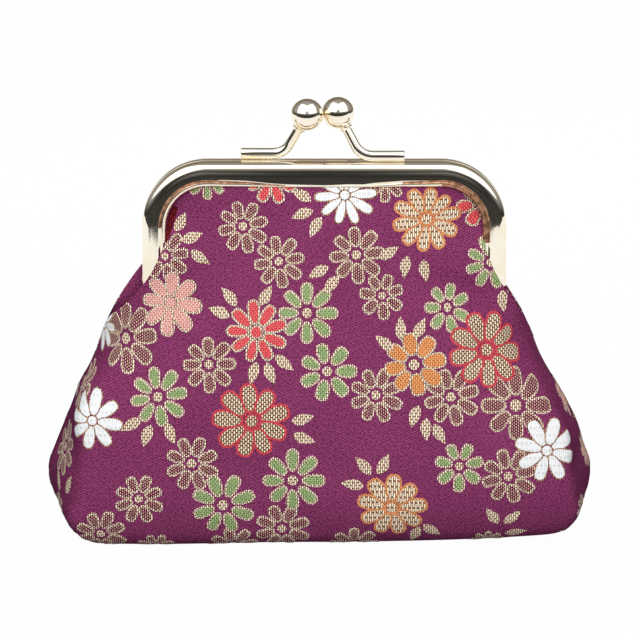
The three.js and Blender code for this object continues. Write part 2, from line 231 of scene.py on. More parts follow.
def twill(tree, across, along, pitch=0.6, slope=0.47):
    """Diagonal ribs that rise to the right, broken into floats: 0 in a groove, 1 on a rib."""
    phase = math_node(tree, "MULTIPLY_ADD", across, slope, along)
    wave = math_node(tree, "SINE", math_node(tree, "MULTIPLY", phase, 2 * math.pi / pitch))
    rib = math_node(tree, "MULTIPLY_ADD", wave, 0.5, 0.5)
    turn = math_node(tree, "MULTIPLY_ADD", along, -0.3, across)
    floats = math_node(tree, "SINE", math_node(tree, "MULTIPLY", turn, 2 * math.pi / (0.78 * pitch)))
    return math_node(tree, "MULTIPLY", rib, math_node(tree, "MULTIPLY_ADD", floats, 0.26, 0.74))


def off_middle(tree, steps):
    """How far a count of steps is from the middle of the step that it is in."""
    return math_node(tree, "ABSOLUTE", math_node(tree, "SUBTRACT", math_node(tree, "FRACT", steps), 0.5))


def dashes(tree, where, across, along, pitch, length, cover, reach):
    """Staggered upright thread floats, reach half as long as their rows: 1 on a thread, 0 between."""
    wobble = math_node(tree, "MULTIPLY_ADD", noise_of(tree, where, 1.1), 0.3, -0.15)
    column = math_node(tree, "DIVIDE", math_node(tree, "ADD", across, wobble), pitch)
    shift = math_node(tree, "MULTIPLY", math_node(tree, "FLOOR", column), 0.5)
    row = math_node(tree, "ADD", math_node(tree, "DIVIDE", along, length), shift)
    in_column, in_row = off_middle(tree, column), off_middle(tree, row)
    side = remap(tree, in_column, 0.5 * cover - 0.05, 0.5 * cover + 0.12, 1.0, 0.0)
    end = remap(tree, in_row, reach - 0.05, reach + 0.05, 1.0, 0.0)
    return math_node(tree, "MULTIPLY", side, end)


def ground_material():
    material, tree, shader = new_material("purple_twill")
    where, across, along = cloth_axes(tree)
    ribs = twill(tree, across, along)
    flecks = noise_of(tree, where, 2.1, 3.0)
    drift = noise_of(tree, where, 0.06, 1.0)
    fibre = math_node(tree, "MULTIPLY", math_node(tree, "MULTIPLY_ADD", ribs, 0.66, 0.32),
                      math_node(tree, "MULTIPLY_ADD", flecks, 3.4, -0.72))
    lit = blend_colours(tree, drift, colour(172, 80, 130), colour(146, 64, 110))
    tint = blend_colours(tree, fibre, colour(66, 18, 48), lit)
    feed(tree, shader, {"Base Color": tint, "Roughness": 0.5, "Specular IOR Level": 0.0})
    bump(tree, shader, ribs, 0.00014, 0.6)
    return material


GOLD_LIT, GOLD_DEEP, BROWN = (255, 250, 228), (255, 227, 188), (92, 32, 42)
# Each thread's lit, shaded and gap colours as seen on the screen, the pitch and length of its floats
# in millimetres, the share of the pitch that they cover, and how far along their rows they reach.
THREADS = {
    "gold_thread": (GOLD_LIT, GOLD_DEEP, BROWN, 0.48, 0.9, 0.6),
    "gold_satin": (GOLD_LIT, GOLD_DEEP, (122, 70, 62), 0.5, 1.4, 0.6),
    "gold_dots": ((250, 214, 188), GOLD_DEEP, (100, 30, 62), 0.48, 0.66, 0.32, 0.28),
    "gold_stripes": (GOLD_LIT, GOLD_DEEP, (128, 78, 58), 0.5, 2.6, 0.6),
    "gold_netting": (GOLD_LIT, GOLD_DEEP, (104, 62, 48), 0.54, 1.0, 0.5, 0.36),
    "bronze_thread": ((232, 200, 152), (178, 134, 98), BROWN, 0.5, 1.25, 0.56),
    "white_thread": ((254, 254, 255), (244, 246, 249), (238, 238, 240), 0.5, 3.5, 0.84),
    "green_thread": ((184, 204, 146), (148, 174, 110), (104, 124, 86), 0.44, 1.0, 0.74),
    "red_thread": ((252, 120, 118), (236, 86, 92), (186, 48, 70), 0.44, 1.0, 0.74),
    "orange_thread": ((252, 190, 122), (238, 154, 92), (176, 84, 54), 0.44, 1.0, 0.7),
    "peach_thread": ((252, 208, 196), (242, 182, 170), (190, 112, 112), 0.44, 1.0, 0.7),
    "orange_edge": ((252, 182, 120), (238, 150, 88), (150, 66, 76), 0.4, 0.7, 0.8),
    "red_edge": ((240, 100, 100), (214, 66, 78), (132, 36, 70), 0.4, 0.7, 0.8),
    "turned_edge": ((140, 40, 44), (92, 20, 30), (58, 10, 20), 0.5, 1.0, 0.7),
}


def thread_material(name, lit, deep, gap, pitch, length, cover, reach=0.41):
    """Threads that float on the cloth, with a darker thread between them."""
    material, tree, shader = new_material(name)
    where, across, along = cloth_axes(tree)
    mask = dashes(tree, where, across, along, pitch, length, cover, reach)
    flecks = noise_of(tree, where, 2.4, 2.0)
    over = blend_colours(tree, remap(tree, flecks, 0.3, 0.7), colour(*deep), colour(*lit))
    tint = blend_colours(tree, mask, colour(*gap), over)
    feed(tree, shader, {"Base Color": tint, "Roughness": 0.5, "Specular IOR Level": 0.04})
    bump(tree, shader, mask, 0.0002, 0.8)
    return material


def lining_material():
    material, tree, shader = new_material("plain_satin")
    where, across, along = cloth_axes(tree)
    ribs = twill(tree, across, along, 0.36, 0.6)
    slubs = noise_of(tree, where, 0.5, 3.0)
    tint = blend_colours(tree, math_node(tree, "MULTIPLY_ADD", ribs, 0.3, slubs),
                         colour(88, 16, 34), colour(146, 36, 58))
    feed(tree, shader, {"Base Color": tint, "Roughness": 0.42})
    bump(tree, shader, ribs, 0.00006, 0.4)
    return material


# Meshes

def mesh_object(name, points, faces, materials, slots=None, flat=None, sheet=None, sharp=50.0):
    """An object from points in millimetres.

    flat gives each point's place on the cloth in millimetres, and sheet its place on the unit
    square, where no two parts of the piece share one.
    """
    mesh = bpy.data.meshes.new(name)
    mesh.from_pydata([tuple(p) for p in np.asarray(points, float) * MM], [], faces)
    for material in materials:
        mesh.materials.append(material)
    if slots is not None:
        mesh.polygons.foreach_set("material_index", np.array(slots, np.int32))
    mesh.polygons.foreach_set("use_smooth", np.ones(len(mesh.polygons), bool))
    corners = np.zeros(len(mesh.loops), np.int32)
    mesh.loops.foreach_get("vertex_index", corners)
    for layout, places in (("OFBake", sheet), ("cloth_mm", flat)):
        if places is not None:
            layer = mesh.uv_layers.new(name=layout)
            layer.data.foreach_set("uv", np.asarray(places, np.float32)[corners].ravel())
    mesh.set_sharp_from_angle(angle=math.radians(sharp))
    mesh.update()
    made = bpy.data.objects.new(name, mesh)
    bpy.context.scene.collection.objects.link(made)
    return made


def join(name, objects):
    """One object from several, which keeps their materials."""
    for made in bpy.context.view_layer.objects:
        made.select_set(False)
    for made in objects:
        made.select_set(True)
    bpy.context.view_layer.objects.active = objects[0]
    bpy.ops.object.join()
    objects[0].name = name
    return objects[0]


def loft(rings, closed=True, capped=True):
    """Points and faces of a skin through rings of points."""
    rings = np.array(rings, float)
    count, around = rings.shape[:2]
    faces = []
    for r in range(count - 1):
        for i in range(around if closed else around - 1):
            j = (i + 1) % around
            a, b = r * around + i, r * around + j
            faces.append((a, b, b + around, a + around))
    if capped:
        faces.append(tuple(range(around))[::-1])
        faces.append(tuple((count - 1) * around + i for i in range(around)))
    return rings.reshape(-1, 3), faces


def arc(centre, radius, start, stop, steps):
    turns = np.linspace(math.radians(start), math.radians(stop), steps)
    return [(centre[0] + radius * math.cos(t), centre[1] + radius * math.sin(t)) for t in turns]


def channel_section(lip):
    """The frame's section, forward of the closing plane and inward, and where its lip starts."""
    bend = CHANNEL_DEPTH - OUTER_EDGE_RADIUS
    face, flat_end = CHANNEL_DEPTH + FACE_CROWN, FACE_WIDTH - 2.3 * lip
    outer = [(0, BACK_WALL_WIDTH)]
    outer += arc((SEAM_EDGE_RADIUS, SEAM_EDGE_RADIUS), SEAM_EDGE_RADIUS, 180, 270, 6)
    outer += arc((bend, OUTER_EDGE_RADIUS), OUTER_EDGE_RADIUS, 270, 360, 12)
    for t in np.linspace(0, 1, 9)[1:-1]:
        crown = FACE_CROWN * (1 - (1 - t) ** 2)
        outer.append((CHANNEL_DEPTH + crown, OUTER_EDGE_RADIUS + (flat_end - OUTER_EDGE_RADIUS) * t))
    crease = len(outer)
    depth = LIP_CREASE * (lip / LIP_RADII[1]) ** 3
    outer += [(face, flat_end), (face - depth, FACE_WIDTH - 1.8 * lip)]
    outer += arc((face - lip + 0.3 * depth, FACE_WIDTH - lip), lip, -58, 90, 12)
    inner = [(CHANNEL_DEPTH - SHEET, FACE_WIDTH)]
    inner += arc((bend, OUTER_EDGE_RADIUS), OUTER_EDGE_RADIUS - SHEET, 360, 270, 8)
    inner += [(SHEET, SHEET), (SHEET, BACK_WALL_WIDTH)]
    return outer + inner, crease


def frame_point(x, z, angle, forward, inward):
    return (x - math.cos(angle) * inward, -(SEAM_GAP / 2 + forward), z - math.sin(angle) * inward)


def frame_stations(leg_end, steps=28):
    shoulder, bar = FRAME_TOP - CORNER_RADIUS, HALF_FRAME - CORNER_RADIUS
    stations = [(-HALF_FRAME, z, math.pi) for z in np.linspace(leg_end, shoulder, 5)[:-1]]
    for side, start in ((-1, math.pi), (1, math.pi / 2)):
        for angle in np.linspace(start, start - math.pi / 2, steps):
            stations.append((side * bar + CORNER_RADIUS * math.cos(angle),
                             shoulder + CORNER_RADIUS * math.sin(angle), angle))
        if side < 0:
            stations += [(x, FRAME_TOP, math.pi / 2) for x in np.linspace(-bar, bar, 7)[1:-1]]
    stations += [(HALF_FRAME, z, 0.0) for z in np.linspace(shoulder, leg_end, 5)[1:]]
    return stations


def turned(points, rear):
    """The rear half is the front one turned half a turn about the upright axis."""
    points = np.array(points, float)
    return points * (-1, -1, 1) if rear else points


def extrude(outline, inner_x, thickness):
    """A plate across X from an outline of (y, z) points."""
    count = len(outline)
    points = [(inner_x, y, z) for y, z in outline] + [(inner_x + thickness, y, z) for y, z in outline]
    faces = [(i, (i + 1) % count, count + (i + 1) % count, count + i) for i in range(count)]
    faces += [tuple(range(count))[::-1], tuple(range(count, 2 * count))]
    return np.array(points), faces


def ears(inset):
    near = -(SEAM_GAP / 2 + SEAM_EDGE_RADIUS)
    outline = [(near, LEG_END + EAR_ROOT), (near - EAR_NECK, LEG_END + EAR_ROOT)]
    outline += [(y, z + HINGE) for y, z in arc((0, 0), EAR_RADIUS, 180, 450, 40)]
    outline += [(near, LEG_END + SHEET)]
    inner = HALF_FRAME - inset - SHEET
    return [extrude(outline, inner if side > 0 else -inner - SHEET, SHEET) for side in (-1, 1)]


def frame_half(name, rear, plating, lip_reflection):
    """A pressed channel with its ears; the rolled lip shows most at the corners, where a copper tint is
    painted on it as a reflection.
    """
    rings, slots = [], []
    stations = frame_stations(LEG_END)
    for x, z, angle in stations:
        growth = float(smoothstep(*LIP_GROWTH, abs(x)))
        section, crease = channel_section(LIP_RADII[0] + (LIP_RADII[1] - LIP_RADII[0]) * growth)
        rings.append([frame_point(x, z, angle, f, i) for f, i in section])
        if len(rings) < len(stations):
            # Faces that get the painted copper reflection.
            reflection_tinted = growth > REFLECTION_GROWTH and z > REFLECTION_HEIGHT
            last = crease + (LIP_FACES if x > REFLECTION_CORNER else CREASE_FACES)
            slots += [int(reflection_tinted and crease <= i < last) for i in range(len(section))]
    points, faces = loft(rings)
    objects = [mesh_object(name, turned(points, rear), faces, [plating, lip_reflection], slots + [0, 0],
                           sharp=20.0)]
    for p, f in ears(REAR_EAR_INSET if rear else 0.0):
        objects.append(mesh_object(f"{name}_ear", turned(p, rear), f, [plating], sharp=35.0))
    return join(name, objects)


def revolve(profile, steps=48):
    """A turned body about Z from (radius, height) points."""
    turns = np.linspace(0, 2 * math.pi, steps, endpoint=False)
    rings = [[(r * math.cos(t), r * math.sin(t), h) for t in turns] for r, h in profile]
    return loft(rings)


def aimed(points, direction, origin):
    """Points that stand along Z at the origin, turned to point along direction from origin."""
    turn = Vector((0, 0, 1)).rotation_difference(Vector(direction)).to_matrix()
    return np.asarray(points) @ np.array(turn).T + np.array(origin)


BALL_DIAMETER = 7.5
BALL_X, BALL_REACH, BALL_RISE = 3.6, 1.3, 10.9
CLASP_SHIFT = -0.38
FOOT_END, FOOT_BEND, BEND_RADIUS = 19.0, 8.9, 3.0
ARM_HEIGHT, ARM_WIDTH = 2.6, 2.4
FOOT_Y = -(SEAM_GAP / 2 + SEAM_EDGE_RADIUS + ARM_WIDTH / 2)
ball_centre = np.array((BALL_X, BALL_REACH, FRAME_TOP + BALL_RISE))
bend_corner = np.array((FOOT_BEND, FOOT_Y, FRAME_TOP + ARM_HEIGHT / 2))
arm_direction = (ball_centre - bend_corner) / np.linalg.norm(ball_centre - bend_corner)


def clasp_ball(name, rear, plating):
    radius = BALL_DIAMETER / 2
    profile = [(radius * math.sin(t), -radius * math.cos(t)) for t in np.linspace(0.22, math.pi, 56)]
    profile[-1] = (0.001, radius)
    points, faces = revolve(profile, 72)
    points = aimed(points, arm_direction, ball_centre)
    return mesh_object(name, turned(points, rear) + (CLASP_SHIFT, 0, 0), faces, [plating], sharp=80.0)


def clasp_arm(name, rear, plating):
    """The bent rod with square-cut foot, flattened where it is brazed, and its collar."""
    tip = ball_centre - arm_direction * (BALL_DIAMETER / 2 + 0.5)
    start, stop = bend_corner + (BEND_RADIUS, 0, 0), bend_corner + arm_direction * BEND_RADIUS
    bend = [(1 - t) ** 2 * start + 2 * t * (1 - t) * bend_corner + t * t * stop
            for t in np.linspace(0, 1, 18)]
    foot = np.array((FOOT_END, FOOT_Y, FRAME_TOP + ARM_HEIGHT / 2))
    path = [foot, foot - (0.12, 0, 0), foot - (0.3, 0, 0), (foot + start) / 2] + bend
    path += [stop + (tip - stop) * t for t in np.linspace(0.2, 1, 6)]
    rings = []
    for i, point in enumerate(path):
        along = path[min(i + 1, len(path) - 1)] - path[max(i - 1, 0)]
        along = along / np.linalg.norm(along)
        across = np.cross(along, (0, 0, 1))
        across = across / np.linalg.norm(across)
        up = np.cross(across, along)
        share = i / (len(path) - 1)
        size = (0.86, 0.96)[i] if i < 2 else 1 - 0.18 * share
        ring = []
        for t in np.linspace(0, 2 * math.pi, 28, endpoint=False):
            c, s = math.cos(t), math.sin(t)
            power = 0.95 if s > 0 else 0.7
            u = math.copysign(abs(c) ** power, c) * ARM_WIDTH / 2 * size
            v = math.copysign(abs(s) ** power, s) * ARM_HEIGHT / 2 * size
            ring.append(point + across * u + up * v)
        rings.append(ring)
    rod = loft(rings)
    seat = -BALL_DIAMETER / 2
    collar = [(1.0, seat - 0.8), (1.25, seat - 0.65), (1.48, seat - 0.36), (1.5, seat - 0.1),
              (1.3, seat + 0.12), (1.0, seat + 0.28), (0.8, seat + 0.4)]
    points, faces = revolve(collar, 40)
    parts = [rod, (aimed(points, arm_direction, ball_centre), faces)]
    shift = (CLASP_SHIFT, 0, 0)
    objects = [mesh_object(f"{name}_{i}", turned(p, rear) + shift, f, [plating], sharp=40.0)
               for i, (p, f) in enumerate(parts)]
    return join(name, objects)


def rivet(name, side, plating):
    head, tail = HALF_FRAME + RIVET_PLAY, HALF_FRAME - RIVET_GRIP
    foot = tail - TAIL_HEIGHT
    profile = [(0.001, foot), (TAIL_RADIUS - TAIL_BEVEL, foot), (TAIL_RADIUS, tail - TAIL_BEVEL),
               (TAIL_RADIUS, tail), (PIN_RADIUS, tail), (PIN_RADIUS, head), (HEAD_RADIUS, head)]
    profile += [(HEAD_RADIUS * math.cos(t), head + HEAD_HEIGHT * math.sin(t))
                for t in np.linspace(0.1, 1.55, 10)]
    points, faces = revolve(profile, 40)
    points = aimed(points, (1, 0, 0), (0, 0, HINGE)) * (side, side, 1)
    return mesh_object(name, points, faces, [plating], sharp=40.0)


def paper_cord(name, rear, paper):
    """Two plies of twisted paper laid round the channel."""
    forward, inward = SHEET + LAYER_GAP + CORD_RADIUS, CORD_TUCK + CORD_RADIUS
    stations = frame_stations(LEG_END + SHEET, 60)
    rings, travelled = [], 0.0
    for i, station in enumerate(stations):
        if i:
            travelled += math.dist(station[:2], stations[i - 1][:2])
        ring = []
        for t in np.linspace(0, 2 * math.pi, 16, endpoint=False):
            ply = CORD_RADIUS * (1 - PLY_GROOVE * (1 - abs(math.cos(t + travelled * PLY_TWIST))))
            ring.append(frame_point(*station, forward + ply * math.cos(t), inward + ply * math.sin(t)))
        rings.append(ring)
    points, faces = loft(rings)
    return mesh_object(name, turned(points, rear), faces, [paper], sharp=80.0)


# Cloth surface: rows of smooth curves from the middle of the front to the side edge.

ROW_STEP = 0.5
ACROSS_STEPS = 360
CLOTH_TOP = FRAME_TOP - FACE_WIDTH + 2.0
CLOTH_PLANE = SEAM_GAP / 2 + CHANNEL_DEPTH - SHEET - LAYER_GAP
LIP_HEIGHT = 70.6
# Half widths of the cloth's edge by height, in millimetres. A scratch script worked most of them out
# from the photograph's outline at every tenth row, and some were then adjusted by hand.
LOWER_EDGE = {
    "left": [(0, 55.5), (0.9, 58.0), (3, 60.9), (5.8, 63.0), (8.3, 64.3), (11, 65.2), (14, 65.5),
             (16.5, 65.2), (20.6, 63.7), (25.5, 61.7), (30.4, 59.7), (35.3, 57.9), (40.2, 55.2),
             (43, 53.9), (47.4, 52.4)],
    "right": [(0, 56.5), (0.9, 58.6), (3, 60.6), (5.8, 61.9), (8.3, 62.7), (11, 63.1), (14, 63.3),
              (16.5, 63.0), (20.6, 61.5), (25.5, 60.0), (30.4, 57.7), (35.3, 54.9), (40.2, 52.0),
              (43, 50.6), (47.4, 48.9)],
}
UPPER_EDGE = {
    "front_left": [(52, 50.0), (54, 47.8), (57.3, 44.4), (59.6, 42.5), (62.5, 40.5), (66.1, 38.7),
                   (68.8, 37.4)],
    "front_right": [(52, 46.8), (54, 45.6), (57.3, 43.4), (59.6, 41.8), (62.5, 40.1),
                    (66.1, 38.5), (68.8, 37.4)],
    "rear_left": [(52.3, 50.2), (54.7, 48.8), (57.1, 47.2), (59.5, 45.5), (61.9, 43.7),
                  (65, 41.0), (68.8, 36.4)],
    "rear_right": [(52, 46.8), (54, 45.6), (57.3, 43.4), (59.6, 41.8), (62.5, 40.1), (66.1, 38.2),
                   (68.8, 36.4)],
}
DEPTH = [(0, 15.5), (0.6, 16.6), (2, 18.0), (5, 19.3), (9, 20.1), (13, 20.3), (20, 19.9), (30, 18.5),
         (40, 16.2), (50, 13.5), (59, 11.0), (66, 9.2), (72, 7.5), (77, 5.9), (80.5, 4.7), (83, 3.8),
         (CLOTH_TOP, CLOTH_PLANE)]
EDGE_DEPTH = [(0, 0.02), (46.5, 0.02), (49, 0.3), (51.5, 1.6), (54.5, 3.6), (57.5, 5.0),
              (60, 5.4), (66, 5.4), (69.4, 4.6), (LIP_HEIGHT, CLOTH_PLANE), (CLOTH_TOP, CLOTH_PLANE)]
# Where the front turns into the gusset, as shares of a row's half width, by height.
FOLD = {
    "left": [(0, 0.95), (6.5, 0.937), (11.4, 0.877), (18.6, 0.87), (23.5, 0.9), (30.2, 0.96),
             (36, 0.968)],
    "right": [(0, 0.955), (6.5, 0.946), (11.4, 0.922), (18.6, 0.918), (23.5, 0.948),
              (30.2, 0.958), (36, 0.96)],
}
# Half a row from the middle to the edge, as shares of its width and its depth.
ROUNDED = [(0, 1), (0.4, 0.99), (0.7, 0.9), (0.86, 0.7), (0.94, 0.42), (0.978, 0.18), (1, 0)]
MOUTH = [(0, 1), (0.33, 0.93), (0.6, 0.6), (0.78, 0.26), (0.88, 0.1), (0.95, 0.02), (1, 0)]
BASE_SEAM_DEPTH = 0.02
# How far the base stands off the table, from left to right.
BASE_LIFT = [(-60, 0), (-34, 0), (-12, 0.45), (2, 0.5), (16, 0.7), (30, 1.05), (44, 1.7), (58, 2.6)]


def edge_width(side, hand, z):
    """How far out the cloth's edge is at height z: down the side, then inside the channel."""
    knots = LOWER_EDGE[hand] + UPPER_EDGE[f"{side}_{hand}"]
    shoulder, bar = FRAME_TOP - CORNER_RADIUS, HALF_FRAME - CORNER_RADIUS
    radius = CLOTH_TOP - shoulder
    arch = bar + np.sqrt(np.maximum(radius ** 2 - np.maximum(z - shoulder, 0) ** 2, 0))
    return np.where(z > LIP_HEIGHT, arch, ease(knots, np.minimum(z, knots[-1][0])))


def folded(hand, z):
    """Half rows that run flat to the fold and then back to the side seam."""
    fold = ease(FOLD[hand], np.minimum(z, FOLD[hand][-1][0]))
    gusset, still = 1 - fold, np.zeros_like(fold)
    width = np.stack([still, still + 0.45, fold - 0.06, fold, fold + 0.3 * gusset, fold + 0.66 * gusset,
                      still + 1], 1)
    depth = np.tile((1, 1, 0.99, 0.965, 0.76, 0.38, 0), (len(fold), 1))
    return np.stack([width, depth], -1)


def spline(control, samples=60):
    """A smooth quadratic curve guided by control points, which it starts and ends on."""
    middles = (control[:, 1:-2] + control[:, 2:-1]) / 2
    starts = np.concatenate([control[:, :1], middles], axis=1)
    ends = np.concatenate([middles, control[:, -1:]], axis=1)
    t = np.linspace(0, 1, samples, endpoint=False)[None, None, :, None]
    curve = ((1 - t) ** 2 * starts[:, :, None] + 2 * t * (1 - t) * control[:, 1:-1][:, :, None]
             + t * t * ends[:, :, None])
    return np.concatenate([curve.reshape(len(control), -1, 2), control[:, -1:]], axis=1)


class Cloth:
    """A panel's surface, read by its flat place: a across from the middle, b down from the top."""

    def __init__(self, side):
        self.side = side
        heights = np.concatenate([np.linspace(CLOTH_TOP, 0, 1400), np.zeros(400)])
        depths = np.concatenate([ease(DEPTH, heights[:1400]),
                                 np.linspace(DEPTH[0][1], BASE_SEAM_DEPTH, 401)[1:]])
        down = np.concatenate([[0], np.cumsum(np.hypot(np.diff(heights), np.diff(depths)))])
        self.length = down[-1]
        self.rows = int(math.ceil(self.length / ROW_STEP)) + 1
        self.b = np.linspace(0, self.length, self.rows)
        z, d = np.interp(self.b, down, heights), np.interp(self.b, down, depths)
        e = np.minimum(ease(EDGE_DEPTH, z), d)
        boxed = 1 - smoothstep(30, 50, z)[:, None, None]
        mouth = smoothstep(50, 60, z)[:, None, None]
        self.halves = {}
        columns = ACROSS_STEPS // 2 + 1
        self.points = np.zeros((self.rows, ACROSS_STEPS + 1, 3))
        for hand, sign in (("left", -1), ("right", 1)):
            guide = boxed * folded(hand, z) + (1 - boxed) * np.array(ROUNDED)
            curve = spline(guide * (1 - mouth) + mouth * np.array(MOUTH))
            w = edge_width(side, hand, z)
            x, y = curve[..., 0] * w[:, None], -(e[:, None] + curve[..., 1] * (d - e)[:, None])
            run = np.hypot(np.diff(x, axis=1), np.diff(y, axis=1))
            run = np.concatenate([np.zeros((self.rows, 1)), np.cumsum(run, axis=1)], axis=1)
            self.halves[sign] = run[:, -1]
            for r in range(self.rows):
                here = np.linspace(0, run[r, -1], columns)
                half = np.stack([np.interp(here, run[r], x[r]) * sign, np.interp(here, run[r], y[r]),
                                 np.full(columns, z[r])], 1)
                if sign < 0:
                    self.points[r, :columns] = half[::-1]
                else:
                    self.points[r, columns - 1:] = half
        self.relax()
        if side == "rear":
            self.points = self.points * (1, -1, 1)
            self.points = self.points[:, ::-1]
            self.halves = {-1: self.halves[1], 1: self.halves[-1]}
        self.up = self.normals()
        self.reach = max(self.halves[1].max(), self.halves[-1].max())

    def normals(self):
        n = np.cross(np.gradient(self.points, axis=0), np.gradient(self.points, axis=1))
        n /= np.maximum(np.linalg.norm(n, axis=2, keepdims=True), 1e-9)
        n[-2:] = n[-3]
        return n

    def relax(self):
        """Soft undulation of the cloth, puckers beside the hinges, and the base's lifted end."""
        x, z = self.points[..., 0], self.points[..., 2]
        share = np.linspace(-1, 1, ACROSS_STEPS + 1)[None, :]
        seed = 0.0 if self.side == "front" else 2.1
        calm = smoothstep(0.5, 9, z) * (1 - smoothstep(FRAME_TOP - 16, FRAME_TOP - 6, z))
        calm = calm * (1 - smoothstep(0.84, 0.99, np.abs(share)))
        swell = (0.4 * np.sin(x / 15 + seed) * np.sin(z / 13 + 0.8 + seed)
                 + 0.24 * np.sin(x / 7.5 - z / 11 + seed) + 0.13 * np.sin(x / 4.6 + z / 5.2))
        pull = np.zeros_like(x)
        for side in (-1, 1):
            reach = np.hypot(x - side * 41, z - 58)
            bearing = np.arctan2(z - 58, -side * (x - side * 41))
            fade = smoothstep(3, 9, reach) * (1 - smoothstep(14, 34, reach))
            pull += 0.32 * np.cos(bearing * 9 + side + seed) * fade * (bearing < 0.6)
        self.points = self.points + self.normals() * (calm * (swell + pull))[..., None]
        self.points[..., 2] += ease(BASE_LIFT, self.points[..., 0]) * (1 - smoothstep(0, 15, z))

    def sides(self, b):
        """How far the cloth runs to the left and right of its middle."""
        return [np.interp(b, self.b, self.halves[sign]) for sign in (-1, 1)]

    def half_at(self, a, b):
        left, right = self.sides(b)
        return np.where(np.asarray(a) < 0, left, right)

    def at(self, flat, lift=0.0):
        """Points in space for flat places, lifted off the surface."""
        flat = np.asarray(flat, float)
        a, b = flat[:, 0], np.clip(flat[:, 1], 0, self.length)
        row = np.clip(b / self.length * (self.rows - 1), 0, self.rows - 1.001)
        column = (np.clip(a / self.half_at(a, b), -1, 1) + 1) / 2 * ACROSS_STEPS
        column = np.clip(column, 0, ACROSS_STEPS - 0.001)
        r, c = row.astype(int), column.astype(int)
        fr, fc = (row - r)[:, None], (column - c)[:, None]

        def mix(table):
            top = table[r, c] * (1 - fc) + table[r, c + 1] * fc
            low = table[r + 1, c] * (1 - fc) + table[r + 1, c + 1] * fc
            return top * (1 - fr) + low * fr

        return mix(self.points) + mix(self.up) * np.reshape(lift, (-1, 1))

    def flat_of(self, r, c):
        share = 2 * c / ACROSS_STEPS - 1
        return np.array((share * self.half_at(share, self.b[r]), self.b[r]))

    def outline(self, step=1.0, inset=None):
        """The flat outline, from the top's left end round by the right edge and the base."""
        b = np.linspace(0, self.length, int(self.length / step))
        left, right = self.sides(b)
        if inset is not None:
            hem = inset(b)
            left, right = left - hem, right - hem
        top = [(a, 0.0) for a in np.linspace(-left[0], right[0], 40)[1:-1]]
        foot = [(a, self.length) for a in np.linspace(right[-1], -left[-1], 80)[1:-1]]
        return top + list(zip(right, b)) + foot + list(zip(-left, b))[::-1]


# Camera

view_back = np.array((0, -math.cos(CAMERA_ELEVATION), math.sin(CAMERA_ELEVATION)))
view_up = np.array((0, math.sin(CAMERA_ELEVATION), math.cos(CAMERA_ELEVATION)))
base_front = np.array((0, -DEPTH[1][1], 0.3))
aim_height = (PIXEL_SPAN * (BASE_ROW - PICTURE / 2) + base_front @ view_up) / view_up[2]
aim_x = (PICTURE / 2 - MIDDLE_COLUMN) * PIXEL_SPAN
camera_place = np.array((aim_x, 0, aim_height)) + view_back * CAMERA_DISTANCE
view_angle = 2 * math.atan(PIXEL_SPAN * PICTURE / 2 / CAMERA_DISTANCE)


def pixels_of(points):
    """Where points in millimetres fall in the photograph."""
    away = np.asarray(points) - camera_place
    depth = -(away @ view_back)
    scale = PICTURE / 2 / math.tan(view_angle / 2) / depth
    return np.stack([PICTURE / 2 + away[..., 0] * scale, PICTURE / 2 - (away @ view_up) * scale], -1)


# Woven motifs

# Flowers on the front: column, row and radius in the photograph's pixels, petals, and the bearing
# of a petal in degrees anticlockwise from the right.
FRONT_FLOWERS = {
    "gold": [(243, 226, 26, 8, 15), (279, 262, 26, 8, 10), (356, 254, 28, 8, 5),
             (381.7, 295.4, 23, 7, 18), (209, 365.3, 27, 8, 2), (376, 396, 27, 8, 22),
             (451.5, 398, 28, 8, 15), (515.5, 406.5, 35, 8, 0), (509, 476.6, 28, 8, 15),
             (191, 462.7, 27, 8, 22), (139.5, 499, 25, 8, 22), (126, 337, 33, 8, 10),
             (282.7, 529, 28, 8, 20), (165, 257, 25, 8, 10), (101.4, 534, 26, 8, 22),
             (354.6, 546, 26, 8, 0), (233, 548, 26, 8, 10), (385, 181, 22, 8, 0),
             (66, 446, 27, 8, 20), (58, 510, 18, 8, 0), (581, 508, 20, 8, 0), (84, 386, 24, 8, 0),
             (488, 538, 17, 8, 0), (156, 547, 20, 8, 22)],
    "green": [(307, 314, 30, 8, 0), (327, 371, 29, 7, 0), (447, 308, 24, 7, 25),
              (460, 466, 25, 7, 12), (158.6, 397, 29, 8, 10), (293.4, 481, 31, 8, 0),
              (223.7, 506, 32, 8, 20), (507, 255, 27, 8, 18), (206, 169, 22, 8, 0)],
    "white": [(345.3, 195.8, 31, 10, 4), (93, 421.3, 29.5, 8, 35), (546.2, 451.6, 33, 8, 29),
              (98, 322, 24, 8, 0)],
    "red": [(255.6, 332, 30.5, 9, 17), (271, 170, 26, 8, 22), (480, 204, 24, 6, 10)],
    "orange": [(414, 365.5, 31, 8, 10)],
    "peach": [(171, 302, 31, 8, -4), (572, 380, 24, 8, 0), (585, 448, 18, 8, 0)],
    "orange_ring": [(426.5, 219.2, 34, 10, 10), (392.5, 507.5, 34, 9, 6)],
    "red_ring": [(252.5, 421.5, 38, 9, 16), (486, 349, 38, 9, -8)],
}
